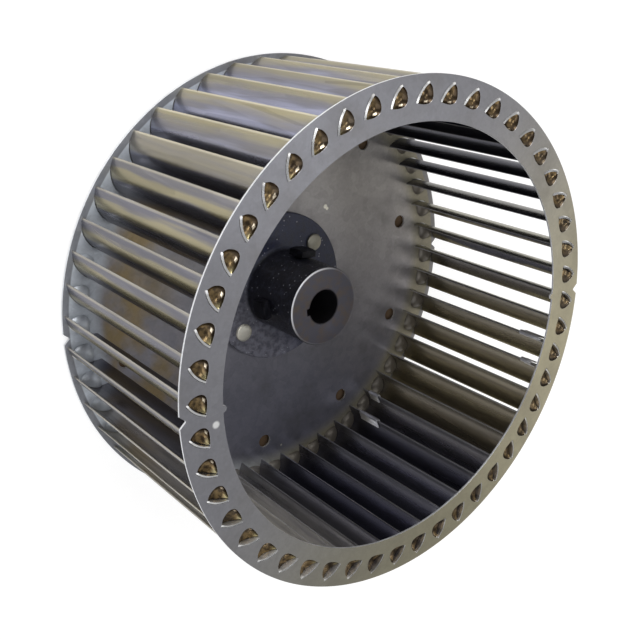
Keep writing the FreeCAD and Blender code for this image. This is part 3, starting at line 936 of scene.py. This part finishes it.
def thicken(piece, gauge):
    modify(piece, "Gauge", "SOLIDIFY", thickness=gauge, offset=-1, use_even_offset=True,
           use_quality_normals=True)
    soften(piece, settings("sheet").edge, 55)
    mesh = bake_modifiers(piece)
    shade(mesh, 40)
    with editing(mesh) as work:
        for line in work.edges:
            level = [abs(face.normal.z) > 0.9999 for face in line.link_faces]
            if any(level) and not all(level):
                line.smooth = False
    return mesh


def lanced_sheet(name, band, nub, face_height, inward, surface):
    # The plain pitch and the notched one, repeated round the axis
    blade = settings("blades")
    inner = WHEEL_RADIUS - band
    pitches = [lanced_sector(f"{name}_{label}", inner, WHEEL_RADIUS, notched, depth, face_height, inward)
               for label, notched, depth in (("pitch", False, 0), ("pitch_notched", True, nub))]
    return spread(name, pitches[0], blade.blades, blade.first, surface, pitches[1], 1)


class WHEEL_OT_inlet_ring(bpy.types.Operator):
    """Inlet ring with its lanced pockets, notches and nubs"""
    bl_idname = "wheel.inlet_ring"
    bl_label = "Inlet ring"

    def execute(self, context):
        sizes = settings("sheet")
        surface = material("ring_sheet", ring_material)
        ring = lanced_sheet("inlet_ring_sheet", sizes.ring_band, sizes.nub_length, RING_FACE, -1, surface)
        thicken(ring, sizes.ring_gauge)
        dress(ring, WHEEL, ["inlet_ring"])
        return {"FINISHED"}


class WHEEL_OT_back_plate(bpy.types.Operator):
    """Back plate with its lanced rim, round holes and shaft opening"""
    bl_idname = "wheel.back_plate"
    bl_label = "Back plate"

    def execute(self, context):
        sizes = settings("sheet")
        surface = material("plate_sheet", plate_material)
        plate = lanced_sheet("back_plate_sheet", sizes.rim_zone, 0, REAR_FACE, 1, surface)
        disc = disc_with_holes("plate_middle", WHEEL_RADIUS - sizes.rim_zone, REAR_FACE, 1)
        with editing(plate.data) as work:
            work.from_mesh(disc.data)
            bmesh.ops.remove_doubles(work, verts=work.verts, dist=4e-6)
            for face in work.faces:
                face.material_index = 0
        discard(disc)
        plate.data.materials.clear()
        plate.data.materials.append(surface)
        thicken(plate, sizes.plate_gauge)
        dress(plate, WHEEL, ["back_plate"])
        return {"FINISHED"}


# Blades -----------------------------------------------------------------------------------------------------

BLADE_MARKS = ("across", "hollow", "cut")
NOSE_STEPS = 4


def strip_section(start, end, arc_steps):
    # A strip's outline in plan, each point with its marks
    blade = settings("blades")
    half = blade.gauge / 2
    shares = [i / arc_steps for i in range(arc_steps + 1)]

    def face(radius, hollow, shares):
        return [(on_arc(radius, start + (end - start) * share), (share, hollow, 0.0)) for share in shares]

    def nose(turn, swing, marks):
        axis = on_arc(blade.arc_radius, turn)
        return [(axis + polar(half, swing + math.pi * i / NOSE_STEPS), marks) for i in range(1, NOSE_STEPS)]

    return [*face(blade.arc_radius + half, 0.0, shares),
            *nose(end, end, (1.0, 0.5, 0.6)),
            *face(blade.arc_radius - half, 1.0, shares[::-1]),
            *nose(start, start + math.pi, (0.0, 0.3, 0.15))]


def bent_strip(start, end, low, high, arc_steps, rise_steps, end_cut, slope=0.0):
    # A closed curved strip along the blade's arc, with rounded long edges. The slope lowers the convex side
    # of its upper end. A strip whose ends are cut bright is bright on its sides too.
    blade = settings("blades")
    section = strip_section(start, end, arc_steps)
    size = len(section)
    points, marks = [], []
    for j in range(rise_steps + 1):
        height = low + (high - low) * j / rise_steps
        for place, (across, hollow, cut) in section:
            points.append((place.x, place.y, height))
            marks.append((across, hollow, 0.85 if end_cut == 1.0 else cut))
    faces = walls(size, rise_steps + 1)
    tip = 2 * arc_steps + NOSE_STEPS
    for level, order in ((low, 1), (high, -1)):
        first = len(points)
        points += [(place.x, place.y, level) for place, _ in section]
        marks += [(across, 0.5, end_cut) for _, (across, _, _) in section]
        caps = [(i, i + 1, tip - 1 - i, tip - i)[::order] for i in range(arc_steps)]
        caps += [tuple(range(arc_steps, arc_steps + NOSE_STEPS + 1))[::-order],
                 (*range(tip, tip + NOSE_STEPS), 0)[::-order]]
        faces += [tuple(first + i for i in cap) for cap in caps]
    for i, (x, y, height) in enumerate(points):
        if height == high:
            out = math.hypot(x - arc_centre(), y) - blade.arc_radius + blade.gauge / 2
            points[i] = (x, y, height - slope * out)
    return points, faces, marks


class WHEEL_OT_blades(bpy.types.Operator):
    """Curved blades with a tab at each end"""
    bl_idname = "wheel.blades"
    bl_label = "Blades"

    def execute(self, context):
        sizes, blade = settings("sheet"), settings("blades")
        low = REAR_FACE + sizes.plate_gauge
        high = RING_FACE - sizes.ring_gauge
        tab = (blade.tab_tip, blade.tab_heel)
        strips = (
            (blade.tip, blade.heel, low, high, 20, 12, 0.2),
            (*tab, high - blade.tab_root, RING_FACE + blade.tab_stand, 12, 2, 1.0, 0.5),
            (*tab, REAR_FACE, low + blade.tab_root, 12, 2, 1.0),
        )
        points, faces, marks = [], [], []
        for strip in strips:
            shift = len(points)
            more_points, more_faces, more_marks = bent_strip(*strip)
            points += more_points
            marks += more_marks
            faces += [tuple(shift + i for i in face) for face in more_faces]
        mesh = mesh_from("blade", points, faces)
        store(mesh, BLADE_MARKS, marks)
        surface = material("blade_sheet", blade_material)
        whole = spread("blades", link("blade", mesh), blade.blades, blade.first, surface, seed=11)
        with editing(whole.data) as work:
            bmesh.ops.recalc_face_normals(work, faces=work.faces)
        shade(whole.data, 45)
        dress(whole, WHEEL, BLADE_NODES)
        return {"FINISHED"}


# Hub --------------------------------------------------------------------------------------------------------

HUB_STEPS = 120
RIVET_STEPS = 48
SCREW_STEPS = 40


def prism(name, outline, low, high):
    size = len(outline)
    points = [(x, y, height) for height in (low, high) for x, y in outline]
    faces = [tuple(range(size))[::-1], tuple(range(size, 2 * size)), *walls(size, 2)]
    return link(name, solid_from(name, points, faces))


def radial_place(turn, distance, height):
    # Turns +Z to point out along a radius of the hub
    return (Matrix.Translation((*polar(distance, turn), height))
            @ Matrix.Rotation(turn, 4, "Z") @ Matrix.Rotation(math.pi / 2, 4, "Y"))


def flange_top():
    return HUB_FOOT + settings("hub").flange_thickness


def screw_height():
    return flange_top() + settings("screws").stand


class WHEEL_OT_hub(bpy.types.Operator):
    """Flanged hub with keyed bore and screw holes"""
    bl_idname = "wheel.hub"
    bl_label = "Hub"

    def execute(self, context):
        sizes, screws = settings("hub"), settings("screws")
        top = flange_top()
        corners = [(sizes.bore, HUB_FOOT), (sizes.flange, HUB_FOOT), (sizes.flange, top),
                   (sizes.barrel, top), (sizes.barrel, HUB_FACE), (sizes.bore, HUB_FACE)]
        profile = [corners[0]]
        radii = (0.3 * MM, sizes.edge, sizes.fillet, sizes.edge, 0.5 * MM)
        for i, radius in enumerate(radii, start=1):
            profile += rounded(corners[i - 1], corners[i], corners[(i + 1) % 6], radius)
        hub = link("hub_body", revolved("hub_body", profile, HUB_STEPS))
        half, deep = sizes.key_width / 2, sizes.bore + sizes.key_depth
        key = prism("key_cut", [(0, -half), (deep, -half), (deep, half), (0, half)],
                    HUB_FOOT - 5 * MM, HUB_FACE + 5 * MM)
        key.data.transform(Matrix.Rotation(sizes.key_angle, 4, "Z"))
        cutters = [key]
        for turn in (screws.angle, sizes.key_angle):
            outline = circle(screws.radius + sizes.screw_clearance, SCREW_STEPS)
            hole = prism("screw_cut", outline, 0, sizes.barrel + 4 * MM)
            hole.data.transform(radial_place(turn, 0, screw_height()))
            cutters.append(hole)
        for cutter in cutters:
            modify(hub, "Cut", "BOOLEAN", operation="DIFFERENCE", solver="EXACT", object=cutter)
        mesh = bake_modifiers(hub)
        discard(*cutters)
        mesh.materials.clear()
        mesh.materials.append(material("hub_black", hub_material))
        mesh.materials.append(material("hub_machined", machined_material))
        for face in mesh.polygons:
            turned_face = face.center.z > HUB_FACE - 0.4 * MM and face.normal.z > 0.5
            in_bore = math.hypot(face.center.x, face.center.y) < sizes.bore + 0.6 * MM
            face.material_index = 1 if turned_face or in_bore else 0
        shade(mesh, 35)
        dress(hub, WHEEL, ["hub"])
        return {"FINISHED"}


class WHEEL_OT_rivets(bpy.types.Operator):
    """Rivets that hold the flange to the back plate"""
    bl_idname = "wheel.rivets"
    bl_label = "Rivets"

    def execute(self, context):
        sizes = settings("hub")
        top, shank, head, rise = flange_top(), sizes.rivet_shank, sizes.rivet_head, sizes.rivet_rise
        foot, under = (shank, 0), (head, top)
        shoulder, crown = (head, top + rise * 0.75), (head * 0.7, top + rise)
        profile = [(0, 0), *rounded((0, 0), foot, (shank, top), 0.6 * MM, 4), (shank, top), under,
                   *rounded(under, shoulder, crown, 0.9 * MM), crown, (0, top + rise * 1.02)]
        mesh = revolved("rivet", profile, RIVET_STEPS)
        mesh.transform(Matrix.Translation((sizes.rivet_circle, 0, 0)))
        surface = material("rivet_heads", rivet_material)
        rivets = spread("flange_rivets", link("rivet", mesh), sizes.rivets, sizes.rivet_angle, surface)
        shade(rivets.data, 40)
        dress(rivets, WHEEL, ["hub_rivets"])
        return {"FINISHED"}


def threaded_shank(sizes, shank, steps=SCREW_STEPS, per_turn=10):
    # A screw thread from the tip at height 0 up to the head
    levels = int(shank / sizes.pitch * per_turn)
    points = []
    for j in range(levels + 1):
        height = shank * j / levels
        taper = min(1, (height + 0.3 * MM) / (1.4 * MM))
        for i in range(steps):
            phase = (height / sizes.pitch - i / steps) % 1
            flank = abs(phase - 0.5) * 2
            radius = sizes.radius - sizes.thread_depth * (1 - min(1, flank * 1.25))
            radius = min(radius, sizes.radius * (0.72 + 0.28 * taper))
            points.append((*polar(radius, TURN * i / steps), height))
    ends = [tuple(range(steps))[::-1], tuple(levels * steps + i for i in range(steps))]
    return points, walls(steps, levels + 1) + ends


def square_head(sizes, shank):
    # A square head with rounded edges and a turned cone over its corners
    mesh = bpy.data.meshes.new("head")
    top = shank + sizes.head_height
    with editing(mesh) as work:
        bmesh.ops.create_cube(work, size=1)
        for vert in work.verts:
            vert.co.x *= sizes.head
            vert.co.y *= sizes.head
            vert.co.z = shank + (vert.co.z + 0.5) * sizes.head_height
        bmesh.ops.subdivide_edges(work, edges=work.edges, cuts=9, use_grid_fill=True)
        for vert in work.verts:
            over = max(0, math.hypot(vert.co.x, vert.co.y) - sizes.head / 2 * 1.04)
            vert.co.z = min(max(vert.co.z, shank + over * 0.25), top - over * 0.55)
        edges = [edge for edge in work.edges if edge.calc_face_angle(0) > math.radians(40)]
        bmesh.ops.bevel(work, geom=edges, offset=sizes.head_edge, segments=3, profile=0.5, affect="EDGES")
    mesh.transform(Matrix.Rotation(sizes.head_turn, 4, "Z"))
    return mesh


class WHEEL_OT_set_screws(bpy.types.Operator):
    """Square-head set screws, one on the shaft and one on the key"""
    bl_idname = "wheel.set_screws"
    bl_label = "Set screws"

    def execute(self, context):
        sizes, hub = settings("screws"), settings("hub")
        places = (
            ("shaft_set_screw", "set_screw_1", "shaft_screw", sizes.angle, hub.bore),
            ("key_set_screw", "set_screw_2", "key_screw", hub.key_angle, hub.bore + hub.key_depth),
        )
        for name, node, body, turn, seat in places:
            tip = seat + sizes.tip_gap
            shank = hub.barrel + sizes.head_rise - sizes.head_height - tip
            mesh = mesh_from(name, *threaded_shank(sizes, shank))
            head = square_head(sizes, shank)
            with editing(mesh) as work:
                work.from_mesh(head)
                bmesh.ops.recalc_face_normals(work, faces=work.faces)
            bpy.data.meshes.remove(head)
            mesh.transform(radial_place(turn, tip, screw_height()))
            shade(mesh, 30)
            mesh.materials.append(material("screw_black", screw_material))
            dress(link(name, mesh), body, [node])
        return {"FINISHED"}


# Balance clips ----------------------------------------------------------------------------------------------

def clip_outline():
    # The channel's section: two legs with flared ends and a round bend, about the blade's own thickness
    sizes, blade = settings("clips"), settings("blades")
    bend = blade.gauge / 2 + sizes.gap + sizes.gauge / 2
    back = sizes.grip / 2 + sizes.gap + sizes.gauge / 2
    end = -sizes.grip / 2
    leg = [Vector((-bend - sizes.flare, end)), Vector((-bend, end + sizes.foot))]
    arc = [Vector((0, back - bend)) + polar(bend, math.pi - math.pi * i / 8) for i in range(9)]
    middle = leg + arc + [Vector((-point.x, point.y)) for point in leg[::-1]]
    left, right = [], []
    for i, point in enumerate(middle):
        along = (middle[min(len(middle) - 1, i + 1)] - middle[max(0, i - 1)]).normalized()
        side = Vector((-along.y, along.x)) * sizes.gauge / 2
        left.append(point + side)
        right.append(point - side)
    return left + right[::-1]


def clip_mesh(name, low, high):
    outline = clip_outline()
    size = len(outline)
    points = [(p.x, p.y, height) for height in (low, high) for p in outline]
    faces = walls(size, 2)
    for i in range(size // 2 - 1):
        j = size - 1 - i
        faces += [tuple(shift + k for k in (i, i + 1, j - 1, j)) for shift in (0, size)]
    return solid_from(name, points, faces)


class WHEEL_OT_balance_clips(bpy.types.Operator):
    """Spring-steel balance clips on the inner edges of blades"""
    bl_idname = "wheel.balance_clips"
    bl_label = "Balance clips"

    def execute(self, context):
        sizes, blade = settings("clips"), settings("blades")
        pitch = TURN / blade.blades
        heel = on_arc(blade.arc_radius, blade.heel)
        grip_turn = blade.heel - sizes.grip / 2 / blade.arc_radius
        on_blade = (Matrix.Translation((arc_centre(), 0, 0)) @ Matrix.Rotation(grip_turn, 4, "Z")
                    @ Matrix.Translation((blade.arc_radius, 0, 0)))
        for node in CLIP_NODES:
            low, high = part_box(node)
            middle = (low + high) / 2
            turn = math.atan2(middle.y, middle.x) - math.atan2(heel.y, heel.x)
            number = round((turn - blade.first) / pitch)
            name = node + "_spring"
            clip = link(name, clip_mesh(name, low.z, high.z))
            clip.data.transform(Matrix.Rotation(blade.first + number * pitch, 4, "Z") @ on_blade)
            soften(clip, sizes.edge, 30)
            mesh = bake_modifiers(clip)
            shade(mesh, 35)
            mesh.materials.append(material("clip_steel", clip_material))
            dress(clip, WHEEL, [node])
        return {"FINISHED"}


# Stage ------------------------------------------------------------------------------------------------------

WHITE = (1, 1, 1, 1)
LAMPS = (
    # Name, place, diameter, power and colour
    ("key", (-0.7, 1.35, 0.38), 1.0, 13.0, (1.0, 0.99, 0.97)),
    ("fill", (-1.2, -0.6, 1.3), 1.6, 10.0, (0.94, 0.96, 1.0)),
    ("rim", (1.5, -0.2, 0.7), 1.0, 4.0, (1.0, 0.95, 0.86)),
    ("top", (0.66, 0.06, 1.25), 0.3, 0.8, (0.95, 0.97, 1.0)),
    ("glint", (0.1, 0.6, 1.15), 0.15, 0.4, (1.0, 1.0, 1.0)),
    ("tab_glint", (-0.2, 0.24, 1.25), 0.34, 1.4, (1.0, 1.0, 1.0)),
)
LAMP_TARGET = Vector((0, 0, 0.06))
# The camera's lens in mm, its sides, and its place in wheel radii from the middle of the inlet
CAMERA_LENS = 52.57
CAMERA_RIGHT = Vector((0.76373, 0.18524, 0.61830)).normalized()
CAMERA_BACK = Vector((-0.64545, 0.21919, 0.73160)).normalized()
CAMERA_PLACE = Vector((-2.5432, 0.8033, 2.3495))


def floor_material():
    # White to the camera, and a plain pale floor to the light. Under the wheel it is painted dark, a painted
    # shadow.
    tones = settings("stage_tones")
    surface = bpy.data.materials.new("floor")
    nodes = empty_nodes(surface)
    away = nodes.add("ShaderNodeVectorMath", {0: nodes.place()}, operation="LENGTH").outputs["Value"]
    open_floor = nodes.ramp(away, WHEEL_RADIUS * 0.9, WHEEL_RADIUS)
    seen = nodes.times(nodes.add("ShaderNodeLightPath").outputs["Is Camera Ray"], open_floor)
    # A painted shadow under the wheel
    tint = nodes.mix(open_floor, tones.shadow, tones.floor)
    pale = nodes.add("ShaderNodeBsdfDiffuse", {"Color": tint}).outputs[0]
    glow = nodes.add("ShaderNodeEmission", {"Color": WHITE, "Strength": 0.8}).outputs[0]
    soft = nodes.add("ShaderNodeBsdfDiffuse", {"Color": tones.seen}).outputs[0]
    white = nodes.add("ShaderNodeAddShader", {0: glow, 1: soft}).outputs[0]
    mixed = nodes.add("ShaderNodeMixShader", {0: seen, 1: pale, 2: white}).outputs[0]
    nodes.add("ShaderNodeOutputMaterial", {0: mixed})
    return surface


def studio_world():
    # White to the camera. The light falls mostly from the side of the wheel that is up in the picture.
    world = bpy.data.worlds.new("studio")
    nodes = empty_nodes(world)
    _, y, _ = nodes.axes(nodes.add("ShaderNodeTexCoord").outputs["Generated"])
    above, below = nodes.ramp(y, 0.15, 0.85, 0.0, 0.7), nodes.ramp(y, -0.25, -0.9, 0.0, 0.7)
    light = nodes.math("ADD", nodes.math("ADD", above, below), 0.28)
    camera = nodes.add("ShaderNodeLightPath").outputs["Is Camera Ray"]
    strength = nodes.blend_value(camera, light, 1.0)
    sky = nodes.add("ShaderNodeBackground", {"Color": WHITE, "Strength": strength}).outputs[0]
    nodes.add("ShaderNodeOutputWorld", {0: sky})
    return world


def soft_lamp(name, place, size, power, tint):
    lamp = bpy.data.lights.new(name, "AREA")
    lamp.shape = "DISK"
    lamp.size = size
    lamp.energy = power
    lamp.color = tint
    holder = link(name, lamp)
    holder.location = place
    holder.rotation_euler = (LAMP_TARGET - Vector(place)).to_track_quat("-Z", "Y").to_euler()


class WHEEL_OT_stage(bpy.types.Operator):
    """Floor, soft light and camera"""
    bl_idname = "wheel.stage"
    bl_label = "Stage"

    def execute(self, context):
        side, height = 9, -0.2 * MM
        corners = [(-side, -side, height), (side, -side, height), (side, side, height), (-side, side, height)]
        floor = link("floor", mesh_from("floor", corners, [(0, 1, 2, 3)]))
        floor.data.materials.append(floor_material())
        for lamp in LAMPS:
            soft_lamp(*lamp)
        context.scene.world = studio_world()
        lens = bpy.data.cameras.new("camera")
        lens.lens = CAMERA_LENS
        lens.sensor_width = 36
        lens.clip_start = 0.01
        camera = link("camera", lens)
        up = CAMERA_BACK.cross(CAMERA_RIGHT).normalized()
        turned = Matrix((CAMERA_RIGHT, up, CAMERA_BACK)).transposed().to_4x4()
        place = CAMERA_PLACE * WHEEL_RADIUS + Vector((0, 0, RING_FACE))
        camera.matrix_world = Matrix.Translation(place) @ turned
        context.scene.camera = camera
        context.scene.view_settings.view_transform = "Standard"
        return {"FINISHED"}


class WHEEL_PT_panel(bpy.types.Panel):
    """Pieces of the wheel"""
    bl_idname = "WHEEL_PT_panel"
    bl_label = "Blower wheel"
    bl_space_type = "VIEW_3D"
    bl_region_type = "UI"
    bl_category = "Blower wheel"

    def draw(self, context):
        for operator in OPERATORS:
            self.layout.operator(operator.bl_idname)
        for name in GROUPS:
            group = getattr(context.scene, name)
            box = self.layout.box()
            for field in group.bl_rna.properties:
                label = field.identifier
                if label not in ("rna_type", "name"):
                    box.prop(group, label, text=label.replace("_", " ").capitalize())


OPERATORS = (WHEEL_OT_stage, WHEEL_OT_inlet_ring, WHEEL_OT_back_plate, WHEEL_OT_blades, WHEEL_OT_hub,
             WHEEL_OT_rivets, WHEEL_OT_set_screws, WHEEL_OT_balance_clips)
GROUPS = {
    "wheel_sheet": SheetSizes,
    "wheel_blades": BladeSizes,
    "wheel_hub": HubSizes,
    "wheel_screws": ScrewSizes,
    "wheel_clips": ClipSizes,
    "wheel_blade_tones": BladeTones,
    "wheel_ring_tones": RingTones,
    "wheel_plate_tones": PlateTones,
    "wheel_hub_tones": HubTones,
    "wheel_stage_tones": StageTones,
}


def register():
    for kind in (*GROUPS.values(), *OPERATORS, WHEEL_PT_panel):
        bpy.utils.register_class(kind)
    for name, kind in GROUPS.items():
        setattr(bpy.types.Scene, name, bpy.props.PointerProperty(type=kind))


def unregister():
    for name in GROUPS:
        delattr(bpy.types.Scene, name)
    for kind in (WHEEL_PT_panel, *reversed(OPERATORS), *reversed(list(GROUPS.values()))):
        bpy.utils.unregister_class(kind)


def main():
    register()
    for operator in OPERATORS:
        group, name = operator.bl_idname.split(".")
        getattr(getattr(bpy.ops, group), name)()


if __name__ == "__main__":
    main()
